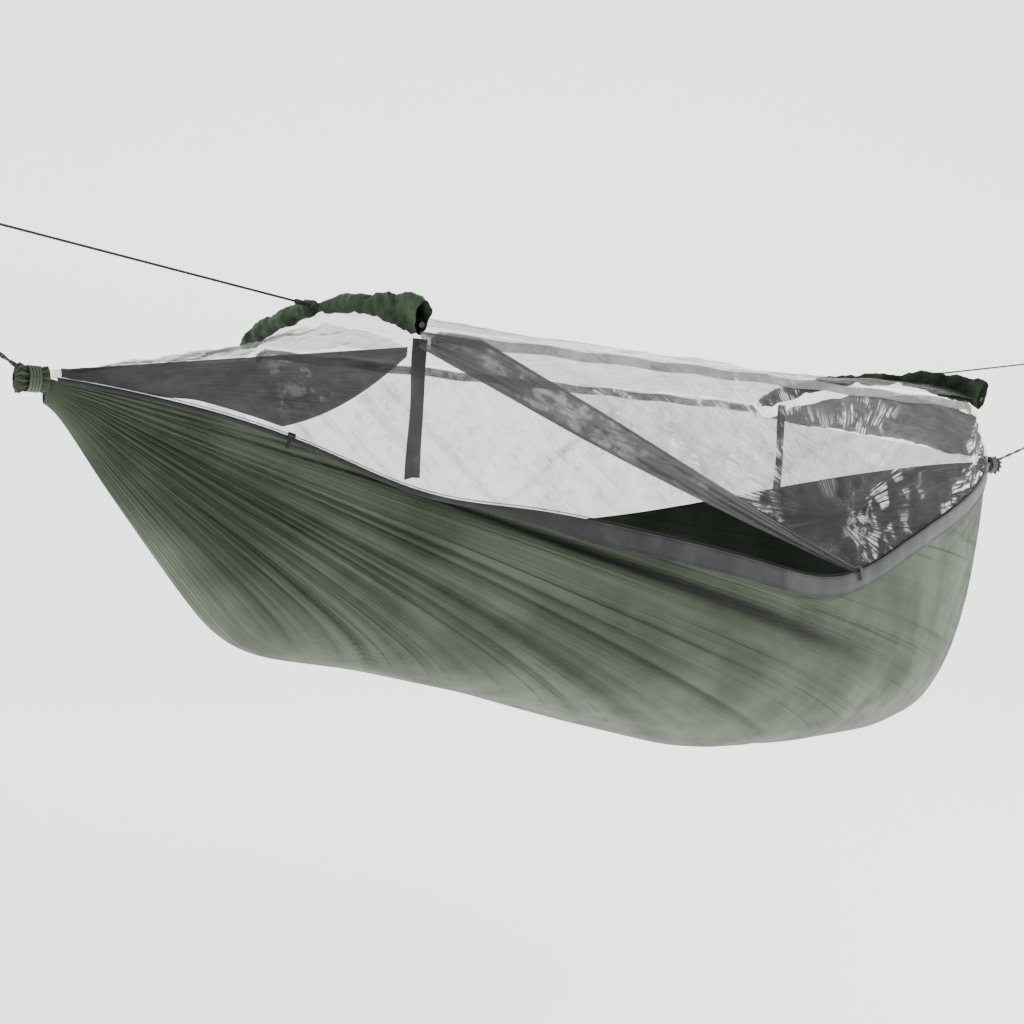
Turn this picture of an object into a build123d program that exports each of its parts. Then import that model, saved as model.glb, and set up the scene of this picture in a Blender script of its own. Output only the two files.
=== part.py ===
"""Camping hammock with a raised insect net: a gathered-end bed, a net spread by two bowed poles, and four taut cords."""
import os
from math import asin, cos, degrees, exp, pi, radians, sin, tanh

from build123d import *

os.makedirs("parts", exist_ok=True)

# Lengths are in mm. Bed coordinates run along the bed (x, towards the foot), across it (y, away from the
# door) and up (z), from the point midway between the gathers, at their height. The row's origin is the centre
# of the head main ring, and at() takes bed coordinates there.

HALF_LENGTH = 1120
HEAD_RING = (-1270, 90)
FOOT_RING = (1340, 76)
HEAD_RIDGE_RING = (-1290, 226)
FOOT_RIDGE_RING = (1320, 264)

# Bed
EDGE_SPREAD = 450
EDGE_TAPER = 650
EDGE_SAG = 200
DOOR_SAG = 50
DOOR_SAG_X = 150
DOOR_SAG_LENGTH = 220
STRAP_SAG = 30
STRAP_SAG_X = -630
STRAP_SAG_LENGTH = 150
KEEL = [(-1100, 27), (-1010, 148), (-904, 276), (-815, 378), (-760, 410), (-600, 432), (-380, 478), (-170, 535)]
KEEL += [(60, 590), (330, 600), (620, 598), (790, 574), (885, 520), (955, 420), (1020, 245), (1075, 100), (1100, 42)]
STATIONS = [-1100, -1075, -1040, -980, -904, -850, -800, -750, -700, -660, -625, -540, -430, -320, -200, -80, 40, 140]
STATIONS += [200, 260, 340, 430, 530, 625, 660, 730, 800, 865, 925, 985, 1040, 1075, 1100]
BED_SKIN = 2.0
LAYER_GAP = 5.0
SECTION_POINTS = 15
ROUND_SECTION = 2.0
BOXY_SECTION = 2.7

# Gathers
GATHER_RADIUS = 21
GATHER_LENGTH = 44
GATHER_BACK = 14
WHIPPING_RADIUS = 3.0
WHIPPING_TURNS = 4

# Bowed poles and their sleeves
POLE_X = 660
POLE_Z = 113
HALF_SPAN = 305
BOW_RISE = 48
POLE_RADIUS = 4.5
POLE_WALL = 0.9
FERRULE_HALF = 2.0
TIP_LENGTH = 0.8
SHOCK_CORD_RADIUS = 1.5
SLEEVE_HALF_WIDTH = 13
SLEEVE_HALF_HEIGHT = 19
SLEEVE_WALL = 1.5
SLEEVE_END = 0.5

# Net
NET_SKIN = 1.2
SEAM_GAP = 1.0
DOOR_HEAD_X = -800
DOOR_HEAD_STEP = 20
DOOR_FOOT_X = 200
DOOR_BAND = 60
DOOR_TIE_DROP = 24
BAND_OUT = 3
BAND_MAX_SHARE = 0.7
TAPE_WIDTH = 16
TAPE_DROP = 3
TAPE_OUT = 2.4
HEM_WIDTH = 36
HEM_PROUD = 6
HEM_OUT = 2.0
ZIP_SIZE = 3.0
ZIP_CLEARANCE = 5.0

# Hanging straps. A place is (x, y), and a drop is a length
STRAP_WIDTH = 25
STRAP_THICKNESS = 1.8
STRAP_GAP = 6
STRAP_FOLD = 34
NEAR_STRAP = (-648, -283)
NEAR_STRAP_DROP = 205
FAR_STRAP = (660, 236)
FAR_STRAP_DROP = 235

# Zip sliders, placed at the middle of a straight stretch of the zip
SLIDER_SIZE = (12, 9, 8)
SLIDER_SLOT = 5.4
SLIDER_MOUTH = 3.4
PULL_LENGTH = 22
PULL_WIDTH = 6
PULL_THICKNESS = 1.6
PIN_RADIUS = 1.0
PIN_WALL = 1.2

# Cords
MAIN_CORD_RADIUS = 3.5
RIDGE_CORD_RADIUS = 2.0
MAIN_RING = (17, 2.5)
RIDGE_RING = (12, 2.0)
RIDGE_LOOP = (8, 1.5)
RIDGE_DROP = 2
MAIN_KNOT = (8, 20)
RIDGE_KNOT = (4.5, 11)
EYE_CLEARANCE = 4.0
EYE_TOUCH = 2.0

BOW_RADIUS = (HALF_SPAN**2 + BOW_RISE**2) / (2 * BOW_RISE)
BOW_CENTRE_Z = POLE_Z + BOW_RISE - BOW_RADIUS
BOW_ANGLE = degrees(asin(HALF_SPAN / BOW_RADIUS))


def at(x, y, z):
    """A point in bed coordinates, in the row's frame."""
    return (x - HEAD_RING[0], y, z - HEAD_RING[1])


def finish(part, name):
    """Names a finished sub-part and writes it."""
    part.label = name
    export_step(part, f"parts/{name}.step")
    return part


def between(points, x):
    """The second value at x, on straight runs between points."""
    for (x0, v0), (x1, v1) in zip(points, points[1:]):
        if x <= x1:
            return v0 + (v1 - v0) * (x - x0) / (x1 - x0)
    return points[-1][1]


# The bed's shape


def half_width(x):
    return EDGE_SPREAD * tanh((HALF_LENGTH - abs(x)) / EDGE_TAPER)


def bump(x, height, middle, length):
    return height * exp(-(((x - middle) / length) ** 2))


def far_edge(x):
    """The far edge's y and z. The net holds it up."""
    sag = EDGE_SAG * sin(pi / 2 * (HALF_LENGTH - abs(x)) / HALF_LENGTH) ** 1.4
    return half_width(x), -sag


def near_edge(x):
    """The near edge's y and z. It sags lower than the far edge along the open door."""
    y, z = far_edge(x)
    z -= bump(x, DOOR_SAG, DOOR_SAG_X, DOOR_SAG_LENGTH)
    z -= bump(x, STRAP_SAG, STRAP_SAG_X, STRAP_SAG_LENGTH)
    return -y, z


def bed_outline(x, inset, thickness):
    """A closed outline of one cloth layer across the bed: down the outside and back up the inside."""
    outside = bed_curve(x, inset)
    inside = bed_curve(x, inset + thickness)
    return outside + inside[::-1]


def bed_curve(x, inset):
    """Points of a U from the near edge, under the keel, to the far edge."""
    (near_y, near_z), (far_y, far_z) = near_edge(x), far_edge(x)
    keel = -between(KEEL, x)
    boxy = ROUND_SECTION + (BOXY_SECTION - ROUND_SECTION) * half_width(x) / half_width(0)
    points = []
    for i in range(SECTION_POINTS):
        turn = pi * (i / (SECTION_POINTS - 1) - 0.5)
        side_y, side_z = (near_y, near_z) if turn < 0 else (far_y, far_z)
        y = (abs(side_y) - inset) * abs(sin(turn)) ** (2 / boxy)
        z = side_z - (side_z - keel - inset) * abs(cos(turn)) ** (2 / boxy)
        points.append((y if turn > 0 else -y, z))
    return points


def ribbon(name, stations):
    """A strip of cloth, lofted straight between outlines of (y, z) at its stations along the bed."""
    with BuildPart() as strip:
        for x, outline in stations:
            with BuildSketch(Plane.YZ.offset(at(x, 0, 0)[0])):
                with BuildLine():
                    Polyline(*[at(x, y, z)[1:] for y, z in outline], close=True)
                make_face()
        loft(ruled=True)
    return finish(strip.part, name)


def upright(top, low, thickness):
    """The outline of a strip that stands between two points of one cross-section."""
    half = thickness / 2
    return [(top[0] - half, top[1]), (top[0] + half, top[1]), (low[0] + half, low[1]), (low[0] - half, low[1])]


def stations_in(start, end):
    return [x for x in STATIONS if start <= x <= end]


def make_bed():
    ribbon("bed_outer_layer", [(x, bed_outline(x, 0, BED_SKIN)) for x in STATIONS])
    ribbon("bed_inner_layer", [(x, bed_outline(x, LAYER_GAP, BED_SKIN)) for x in stations_in(-1040, 1040)])


def hem_outline(edge, side):
    y, z = edge
    middle = y + side * HEM_OUT
    return upright((middle, z + HEM_PROUD), (middle, z + HEM_PROUD - HEM_WIDTH), NET_SKIN)


def zip_outline(edge, side):
    y, z = edge
    low, high = z + HEM_PROUD + SEAM_GAP, z + HEM_PROUD + SEAM_GAP + ZIP_SIZE
    middle = y + side * HEM_OUT
    return upright((middle, high), (middle, low), ZIP_SIZE)


def make_edges():
    """The hems of the bed, and the door's zip along the near one."""
    ribbon("near_hem", [(x, hem_outline(near_edge(x), -1)) for x in stations_in(-625, 1040)])
    ribbon("far_hem", [(x, hem_outline(far_edge(x), 1)) for x in stations_in(-625, 1040)])
    ribbon("door_zip", [(x, zip_outline(near_edge(x), -1)) for x in stations_in(-985, 985)])


# The net's shape


def net_top(x):
    """The y and z of the net's upper side seams: up from the head gather, level between the poles, and down."""
    rise = [(-1080, 18), (-POLE_X, 82), (-625, POLE_Z - 4), (625, POLE_Z - 4), (POLE_X, 82), (1080, 18)]
    spread = [(-1080, 22), (-POLE_X, HALF_SPAN - 8), (POLE_X, HALF_SPAN - 8), (1080, 22)]
    return between(spread, x), between(rise, x)


def over_zip(edge):
    """The net's lower seam, a little above an edge of the bed and clear of its zip and slider."""
    y, z = edge
    return y, z + HEM_PROUD + ZIP_SIZE + SEAM_GAP + ZIP_CLEARANCE


def far_seam(x):
    return over_zip(far_edge(x))


def mix(a, b, share):
    """A point a share of the way from a to b."""
    return a[0] + (b[0] - a[0]) * share, a[1] + (b[1] - a[1]) * share


def near_top(x):
    y, z = net_top(x)
    return -y, z


def beside(top, low, drop, out):
    """A point beside a panel, drop below its upper seam and out from its face."""
    y, z = mix(top, low, drop / (top[1] - low[1]))
    return y + out, z


def make_side_panels():
    far = [(x, upright(net_top(x), far_seam(x), NET_SKIN)) for x in stations_in(-1040, 1040)]
    ribbon("net_far_panel", far)
    make_near_head_panel()
    make_near_foot_panel()
    for name, top, low_seam, side in (("near", near_top, door_line, -1), ("far", net_top, far_seam, 1)):
        tape = []
        for x in stations_in(-625, 625):
            ends = top(x), low_seam(x)
            high, low = (beside(*ends, drop, side * TAPE_OUT) for drop in (TAPE_DROP, TAPE_DROP + TAPE_WIDTH))
            tape.append((x, upright(high, low, NET_SKIN)))
        ribbon(f"net_{name}_seam_tape", tape)


def make_near_head_panel():
    """From the head gather to the door's head side, which leans up to the pole."""
    start = DOOR_HEAD_X - DOOR_HEAD_STEP
    sections = [(x, upright(near_top(x), over_zip(near_edge(x)), NET_SKIN)) for x in stations_in(-1040, start)]
    for x in stations_in(DOOR_HEAD_X, -700):
        share = (x - start) / (-POLE_X - start)
        low = mix(over_zip(near_edge(x)), near_top(x), share)
        sections.append((x, upright(near_top(x), low, NET_SKIN)))
    ribbon("net_near_head_panel", sections)


def door_line(x):
    """The lifted lower edge of the near net, from the head pole's near end down to the door's foot corner."""
    y, z = near_top(-625)
    share = min(1, (x + POLE_X) / (DOOR_FOOT_X + POLE_X))
    return mix((y, z - DOOR_TIE_DROP), over_zip(near_edge(max(x, DOOR_FOOT_X))), share)


def make_near_foot_panel():
    """From the lifted edge to the foot gather, and the dark band of gathered net along the lifted edge."""
    panel = [(x, upright(near_top(x), door_line(x), NET_SKIN)) for x in stations_in(-625, 1040)]
    ribbon("net_near_foot_panel", panel)
    band = []
    for x in stations_in(-540, DOOR_FOOT_X - 20):
        top, low = near_top(x), door_line(x)
        high = mix(low, top, min(BAND_MAX_SHARE, DOOR_BAND / (top[1] - low[1])))
        band.append((x, upright((high[0] - BAND_OUT, high[1]), (low[0] - BAND_OUT, low[1] - 4), 2 * NET_SKIN)))
    ribbon("net_lifted_edge", band)


def bow_plane(x, angle):
    """The plane across a pole's bow, at an angle from its crown towards the near side. Its y axis points out."""
    turn = radians(angle)
    origin = at(x, -BOW_RADIUS * sin(turn), BOW_CENTRE_Z + BOW_RADIUS * cos(turn))
    return Plane(origin=origin, x_dir=(-1, 0, 0), z_dir=(0, -cos(turn), -sin(turn)))


def bow_axis(x):
    return Axis(at(x, 0, BOW_CENTRE_Z), (1, 0, 0))


def bow_tube(name, x, start, end, radius, bore=0.0):
    """A round tube or rod that follows a pole's bow between two angles."""
    with BuildPart() as tube:
        with BuildSketch(bow_plane(x, start)):
            Circle(radius)
            if bore:
                Circle(bore, mode=Mode.SUBTRACT)
        revolve(axis=bow_axis(x), revolution_arc=end - start)
    return finish(tube.part, name)


def make_pole(end, x):
    """A bowed pole in two hollow sections, with its ferrule, the shock cord inside it and two end tips."""
    bore = POLE_RADIUS - POLE_WALL
    ferrule = bore - 0.05
    bow_tube(f"{end}_pole_near_section", x, 0, BOW_ANGLE - TIP_LENGTH, POLE_RADIUS, bore)
    bow_tube(f"{end}_pole_far_section", x, TIP_LENGTH - BOW_ANGLE, 0, POLE_RADIUS, bore)
    bow_tube(f"{end}_pole_ferrule", x, -FERRULE_HALF, FERRULE_HALF, ferrule, ferrule - POLE_WALL)
    inside = BOW_ANGLE - TIP_LENGTH
    bow_tube(f"{end}_pole_shock_cord", x, -inside, inside, SHOCK_CORD_RADIUS)
    with BuildPart() as tips:
        for side in (-1, 1):
            with BuildSketch(bow_plane(x, side * (BOW_ANGLE - TIP_LENGTH))):
                Circle(POLE_RADIUS)
            revolve(axis=bow_axis(x), revolution_arc=side * TIP_LENGTH)
    finish(tips.part, f"{end}_pole_tips")


def make_sleeve(end, x):
    """A soft sleeve round the bow, closed at its far end so that the pole can only leave at the near end."""
    far_stop = -BOW_ANGLE - SLEEVE_END
    with BuildPart() as sleeve:
        with BuildSketch(bow_plane(x, far_stop)):
            Ellipse(SLEEVE_HALF_WIDTH, SLEEVE_HALF_HEIGHT)
        revolve(axis=bow_axis(x), revolution_arc=BOW_ANGLE - far_stop)
        with BuildSketch(bow_plane(x, -BOW_ANGLE - SLEEVE_END / 2)):
            Ellipse(SLEEVE_HALF_WIDTH - SLEEVE_WALL, SLEEVE_HALF_HEIGHT - SLEEVE_WALL)
        revolve(axis=bow_axis(x), revolution_arc=2 * BOW_ANGLE + SLEEVE_END, mode=Mode.SUBTRACT)
    finish(sleeve.part, f"{end}_pole_sleeve")


def make_top():
    """The net's roof between the poles, and the small arch nets under the sleeves."""
    reach = POLE_X - SLEEVE_HALF_WIDTH - SEAM_GAP
    trim = 1.0
    span = 2 * (BOW_ANGLE - trim)
    with BuildPart() as top:
        with BuildSketch(bow_plane(-reach, trim - BOW_ANGLE)):
            with Locations((-reach, 0)):
                Rectangle(2 * reach, NET_SKIN)
        revolve(axis=bow_axis(-reach), revolution_arc=span)
    finish(top.part, "net_top_panel")
    for end, x in (("head", -POLE_X), ("foot", POLE_X)):
        inner = BOW_RADIUS - SLEEVE_HALF_HEIGHT - SEAM_GAP
        low = BOW_CENTRE_Z + inner * cos(radians(BOW_ANGLE)) + 14
        half = (inner**2 - (low - BOW_CENTRE_Z) ** 2) ** 0.5
        with BuildPart() as arch:
            with BuildSketch(Plane.YZ.offset(at(x, 0, 0)[0])):
                with BuildLine():
                    ThreePointArc(
                        at(x, -half, low)[1:], at(x, 0, BOW_CENTRE_Z + inner)[1:], at(x, half, low)[1:]
                    )
                    Line(at(x, half, low)[1:], at(x, -half, low)[1:])
                make_face()
            extrude(amount=NET_SKIN / 2, both=True)
        finish(arch.part, f"net_{end}_arch_panel")


def make_end_panels():
    """The sloping nets from each gather up to its pole."""
    for end, side in (("head", -1), ("foot", 1)):
        low_x, high_x = 1060, POLE_X + SLEEVE_HALF_WIDTH + 3
        sections = []
        for x in (low_x, (low_x + high_x) / 2, high_x):
            y, z = net_top(side * x)
            y -= 4
            sections.append((side * x, [(-y, z), (y, z), (y, z + NET_SKIN), (-y, z + NET_SKIN)]))
        ribbon(f"net_{end}_end_panel", sections)


# Gathers, straps and zip sliders


def make_gather(end, side):
    """The rolled cloth at one end of the bed, and the cord whipped round it. Returns the roll."""
    inner, outer = HALF_LENGTH - GATHER_BACK, HALF_LENGTH - GATHER_BACK + GATHER_LENGTH
    neck = GATHER_RADIUS - WHIPPING_RADIUS * 1.6
    half = WHIPPING_TURNS * WHIPPING_RADIUS
    middle = (inner + outer) / 2 - 4
    outline = [(inner, 0), (inner, GATHER_RADIUS * 0.75), (middle - half - 5, GATHER_RADIUS), (middle - half, neck)]
    outline += [(middle + half, neck), (middle + half + 4, GATHER_RADIUS), (outer, GATHER_RADIUS * 0.7), (outer, 0)]
    axis = Axis(at(0, 0, 0), (1, 0, 0))
    with BuildPart() as gather:
        with BuildSketch(Plane.XZ):
            with BuildLine():
                Polyline(*[(at(side * x, 0, z)[0], at(x, 0, z)[2]) for x, z in outline], close=True)
            make_face()
        revolve(axis=axis)
    with BuildPart() as whipping:
        for turn in range(WHIPPING_TURNS):
            x = side * (middle + (2 * turn - WHIPPING_TURNS + 1) * WHIPPING_RADIUS)
            with BuildSketch(Plane.XZ):
                with Locations((at(x, 0, 0)[0], at(x, 0, neck + WHIPPING_RADIUS)[2])):
                    Circle(WHIPPING_RADIUS - 0.05)
            revolve(axis=axis)
    finish(whipping.part, f"{end}_whipping")
    return finish(gather.part, f"{end}_gather")


def make_strap(name, place, drop):
    """A webbing strap that hangs from a sleeve, and its end folded up and sewn."""
    x, y = place
    bow_z = BOW_CENTRE_Z + (BOW_RADIUS**2 - y**2) ** 0.5
    top = bow_z - SLEEVE_HALF_HEIGHT - STRAP_GAP
    inward = -STRAP_THICKNESS if y > 0 else STRAP_THICKNESS
    with BuildPart() as strap:
        with Locations(at(x, y, top - drop / 2)):
            Box(STRAP_WIDTH, STRAP_THICKNESS, drop)
    finish(strap.part, name)
    with BuildPart() as fold:
        with Locations(at(x, y + inward, top - drop + STRAP_FOLD / 2)):
            Box(STRAP_WIDTH, STRAP_THICKNESS, STRAP_FOLD)
    finish(fold.part, f"{name}_fold")
    print(name, "turns about", [round(v / 1000, 4) for v in at(x, y, top)])


def zip_frame(x):
    """A plane at the middle of the door's zip, with x along the zip and z up from it."""
    start = max(station for station in STATIONS if station <= x)
    end = min(station for station in STATIONS if station > x)
    first, last = near_edge(start), near_edge(end)
    y, z = mix(first, last, (x - start) / (end - start))
    origin = at(x, y - HEM_OUT, z + HEM_PROUD + SEAM_GAP + ZIP_SIZE / 2)
    along = Vector(end - start, last[0] - first[0], last[1] - first[1]).normalized()
    across = Vector(0, 0, 1).cross(along).normalized()
    return Plane(origin=origin, x_dir=along, z_dir=along.cross(across))


def make_slider(name, x):
    """A zip slider that wraps the zip, with a pull tab hanging from a pin on its outer face."""
    frame = zip_frame(x)
    length, width, height = SLIDER_SIZE
    face = -width / 2
    pin_y = face - PIN_RADIUS - PIN_WALL - 0.4
    with BuildPart(frame) as slider:
        Box(length, width, height)
        fillet(slider.edges().filter_by(Axis(frame.origin, frame.z_dir)), 2)
        Box(2 * length, SLIDER_SLOT, SLIDER_SLOT, mode=Mode.SUBTRACT)
        with Locations((0, 0, -height / 2)):
            Box(2 * length, SLIDER_MOUTH, height, mode=Mode.SUBTRACT)
        for side in (-1, 1):
            with Locations((side * (PULL_WIDTH / 2 + 1), face - 1.5, 0)):
                Box(1.2, 4, 4)
        with Locations(Location((0, pin_y, 0), (0, 90, 0))):
            Cylinder(PIN_RADIUS, PULL_WIDTH + 2.6)
    finish(slider.part, name)
    with BuildPart(frame) as pull:
        with Locations((0, pin_y, -PULL_LENGTH / 2 + 2.4)):
            Box(PULL_WIDTH, PULL_THICKNESS, PULL_LENGTH)
        with Locations(Location((0, pin_y, 0), (0, 90, 0))):
            Cylinder(PIN_RADIUS + PIN_WALL, PULL_WIDTH)
            Cylinder(PIN_RADIUS + 0.08, PULL_WIDTH, mode=Mode.SUBTRACT)
    finish(pull.part, f"{name}_pull")
    pin = frame.from_local_coords(Vector(0, pin_y, 0))
    print(name, "slides along", [round(v, 4) for v in frame.x_dir], "pin at", [round(v / 1000, 5) for v in pin])


# Cords


def make_ring(name, place, size):
    """A round wire ring standing in the plane of the cords."""
    x, z = place
    centre, wire = size
    with BuildPart() as ring:
        with BuildSketch(Plane.XY.offset(at(x, 0, z)[2])):
            with Locations((at(x + centre, 0, z)[0], 0)):
                Circle(wire)
        revolve(axis=Axis(at(x, 0, z), (0, 1, 0)))
    return finish(ring.part, name)


def make_eye(name, place, toward, wire, cord_radius, knot):
    """A tied eye round a wire: a closed loop that lies across the cords' plane, with its knot on the cord's side."""
    reach, offset = 3 * cord_radius, wire + EYE_CLEARANCE + cord_radius
    start = offset - cord_radius - wire - EYE_TOUCH
    knot_radius, knot_length = knot
    frame = Plane(origin=at(place[0], 0, place[1]), x_dir=toward, z_dir=toward.cross(Vector(0, 1, 0)))
    section = frame.from_local_coords(Vector(start, offset, 0))
    knot_start = start + reach + offset - cord_radius
    knot_at = frame.from_local_coords(Vector(knot_start + knot_length / 2, 0, 0))
    with BuildPart() as eye:
        with BuildLine(frame):
            Line((start, offset), (start + reach, offset))
            ThreePointArc((start + reach, offset), (start + reach + offset, 0), (start + reach, -offset))
            Line((start + reach, -offset), (start, -offset))
            ThreePointArc((start, -offset), (start - offset, 0), (start, offset))
        with BuildSketch(Plane(origin=section, x_dir=frame.y_dir, z_dir=toward)):
            Circle(cord_radius)
        sweep()
        with Locations(Plane(origin=knot_at, x_dir=frame.y_dir + frame.z_dir, z_dir=toward).location):
            Cylinder(knot_radius, knot_length)
    finish(eye.part, name)
    return frame.from_local_coords(Vector(knot_start + knot_length, 0, 0))


def straight_cord(name, start, end, radius, into=None):
    """A taut cord between two points, cut back where it goes into another piece."""
    run = end - start
    with BuildPart() as cord:
        with Locations(Plane(origin=start, x_dir=(0, 1, 0), z_dir=run.normalized()).location):
            Cylinder(radius, run.length, align=(Align.CENTER, Align.CENTER, Align.MIN))
        if into is not None:
            add(into, mode=Mode.SUBTRACT)
    finish(cord.part, name)
    print(name, [round(v / 1000, 4) for v in start], [round(v / 1000, 4) for v in end])


def heading(start, end):
    return Vector(end[0] - start[0], 0, end[1] - start[1]).normalized()


def along_line(place, toward, distance):
    return place[0] + toward.X * distance, place[1] + toward.Z * distance


def make_main_cord(end, ring_place, gather, gather_place):
    """A doubled main cord from its ring's eye down into the gather."""
    toward = heading(ring_place, gather_place)
    make_ring(f"{end}_main_ring", ring_place, MAIN_RING)
    wire_place = along_line(ring_place, toward, MAIN_RING[0])
    start = make_eye(f"{end}_main_eye", wire_place, toward, MAIN_RING[1], MAIN_CORD_RADIUS, MAIN_KNOT)
    inside = Vector(*at(gather_place[0], 0, gather_place[1]))
    straight_cord(f"{end}_main_cord", start, inside, MAIN_CORD_RADIUS, into=gather)


def make_ridge_cord(end, ring_place, side):
    """A thin cord from its ring to the sewn loop at the crown of a pole's sleeve, with a tied eye at each end."""
    loop_place = (side * (POLE_X + SLEEVE_HALF_WIDTH + RIDGE_LOOP[0] + 1), POLE_Z + BOW_RISE - RIDGE_DROP)
    toward = heading(ring_place, loop_place)
    make_ring(f"{end}_ridge_ring", ring_place, RIDGE_RING)
    make_ring(f"{end}_ridge_loop", loop_place, RIDGE_LOOP)
    outer = along_line(ring_place, toward, RIDGE_RING[0])
    inner = along_line(loop_place, toward, -RIDGE_LOOP[0])
    start = make_eye(f"{end}_ridge_outer_eye", outer, toward, RIDGE_RING[1], RIDGE_CORD_RADIUS, RIDGE_KNOT)
    stop = make_eye(f"{end}_ridge_inner_eye", inner, -toward, RIDGE_LOOP[1], RIDGE_CORD_RADIUS, RIDGE_KNOT)
    straight_cord(f"{end}_ridge_cord", start, stop, RIDGE_CORD_RADIUS)


make_bed()
make_edges()
make_side_panels()
make_top()
make_end_panels()
gathers = {"head": make_gather("head", -1), "foot": make_gather("foot", 1)}
for pole_end, pole_x in (("head", -POLE_X), ("foot", POLE_X)):
    make_pole(pole_end, pole_x)
    make_sleeve(pole_end, pole_x)
make_strap("near_strap", NEAR_STRAP, NEAR_STRAP_DROP)
make_strap("far_strap", FAR_STRAP, FAR_STRAP_DROP)
make_slider("head_slider", DOOR_HEAD_X - 2 * SLIDER_SIZE[0] / 3)
make_slider("foot_slider", DOOR_FOOT_X + 2 * SLIDER_SIZE[0] / 3)
make_main_cord("head", HEAD_RING, gathers["head"], (-HALF_LENGTH, 0))
make_main_cord("foot", FOOT_RING, gathers["foot"], (HALF_LENGTH, 0))
make_ridge_cord("head", HEAD_RIDGE_RING, -1)
make_ridge_cord("foot", FOOT_RIDGE_RING, 1)
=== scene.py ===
"""Looks of a camping hammock: its pleated bed, insect net, sleeves, webbing and cords."""
from math import asin, cos, pi, radians, sin

import bpy
import numpy as np
from mathutils import Matrix, Vector, noise


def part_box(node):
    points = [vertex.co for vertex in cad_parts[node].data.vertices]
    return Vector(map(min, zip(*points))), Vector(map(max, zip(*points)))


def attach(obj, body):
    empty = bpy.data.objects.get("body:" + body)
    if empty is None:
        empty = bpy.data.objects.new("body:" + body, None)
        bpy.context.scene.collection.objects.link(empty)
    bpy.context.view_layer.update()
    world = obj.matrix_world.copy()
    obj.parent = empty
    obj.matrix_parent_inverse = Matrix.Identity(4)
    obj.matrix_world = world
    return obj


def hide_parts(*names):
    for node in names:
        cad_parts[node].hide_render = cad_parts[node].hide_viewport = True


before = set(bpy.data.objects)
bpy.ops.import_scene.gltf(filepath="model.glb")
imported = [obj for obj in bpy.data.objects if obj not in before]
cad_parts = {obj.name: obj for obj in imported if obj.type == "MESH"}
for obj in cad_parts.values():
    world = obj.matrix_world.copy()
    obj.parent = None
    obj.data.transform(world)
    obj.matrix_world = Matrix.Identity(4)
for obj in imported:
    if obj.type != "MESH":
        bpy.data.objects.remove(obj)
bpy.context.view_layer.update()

# Lengths are in metres. Bed coordinates run along the bed (x, towards the foot), across it (y, away from the
# door) and up (z), from the point midway between the gathers. row() moves them into the row's frame.

HALF_LENGTH = 1.12
HEAD_RING_X, HEAD_RING_Z = -1.27, 0.09

EDGE_SPREAD, EDGE_TAPER, EDGE_SAG = 0.45, 0.65, 0.2
DOOR_SAG, DOOR_SAG_X, DOOR_SAG_LENGTH = 0.05, 0.15, 0.22
STRAP_SAG, STRAP_SAG_X, STRAP_SAG_LENGTH = 0.03, -0.63, 0.15
KEEL = [(-1.1, 0.027), (-1.01, 0.148), (-0.904, 0.276), (-0.815, 0.378), (-0.76, 0.41), (-0.6, 0.432)]
KEEL += [(-0.38, 0.478), (-0.17, 0.535), (0.06, 0.59), (0.33, 0.6), (0.62, 0.598), (0.79, 0.574)]
KEEL += [(0.885, 0.52), (0.955, 0.42), (1.02, 0.245), (1.075, 0.1), (1.1, 0.042)]
KEEL_SOFTENING = 0.022
ROUND_SECTION, BOXY_SECTION = 2.0, 2.7
LAYER_GAP = 0.005

POLE_X, POLE_Z, HALF_SPAN, BOW_RISE = 0.66, 0.113, 0.305, 0.048
BOW_RADIUS = (HALF_SPAN**2 + BOW_RISE**2) / (2 * BOW_RISE)
BOW_CENTRE_Z = POLE_Z + BOW_RISE - BOW_RADIUS
BOW_ANGLE = asin(HALF_SPAN / BOW_RADIUS)

DOOR_HEAD_X, DOOR_FOOT_X = -0.82, 0.2
NET_END_X, PANEL_END_X, NET_POLE_X, SEAM_X = 1.08, 1.09, 0.672, 0.625
ABOVE_ZIP = 0.007
SLIDER_ROOM = 0.009

HEM_END_X = 1.095
HEM_PROUD = 0.006
HEM_OFF, HEM_CROWN, HEM_THICKNESS = 0.0045, 0.002, 0.0012
STITCH_LENGTH, STITCH_DIP, THREAD_RADIUS = 0.0055, 0.0006, 0.0005
ZIP_PITCH, ZIP_RISE, COIL_RADIUS = 0.0035, 0.0025, 0.0007
STRAP_THICKNESS = 0.0018
WHIPPING_RADIUS, WHIPPING_CORD_RADIUS = 0.0178, 0.0021
FLOOR_Z = -1.35


def row(x, y, z):
    """Bed coordinates in the row's frame, as an array of points. The head's main ring is its origin."""
    x, y, z = np.broadcast_arrays(x, y, z)
    return np.stack([x - HEAD_RING_X, y, z - HEAD_RING_Z], axis=-1)


def smooth_step(low, high, value):
    """0 below low, 1 above high and smooth between them. Swapping low and high turns it round."""
    t = np.clip((value - low) / (high - low), 0, 1)
    return t * t * (3 - 2 * t)


def mix(a, b, share):
    return a + (b - a) * share


# The bed's shape


def half_width(x):
    """Half the bed's width at its edges."""
    return EDGE_SPREAD * np.tanh((HALF_LENGTH - np.abs(x)) / EDGE_TAPER)


def bump(x, height, middle, length):
    """A bell-shaped hump."""
    return height * np.exp(-(((x - middle) / length) ** 2))


def far_edge(x):
    """The y and z of the bed's far edge."""
    sag = EDGE_SAG * np.sin(pi / 2 * np.clip((HALF_LENGTH - np.abs(x)) / HALF_LENGTH, 0, 1)) ** 1.4
    return half_width(x), -sag


def near_edge(x):
    """The y and z of the bed's near edge, which sags at the door and under the near strap."""
    y, z = far_edge(x)
    z = z - bump(x, DOOR_SAG, DOOR_SAG_X, DOOR_SAG_LENGTH) - bump(x, STRAP_SAG, STRAP_SAG_X, STRAP_SAG_LENGTH)
    return -y, z


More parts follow.
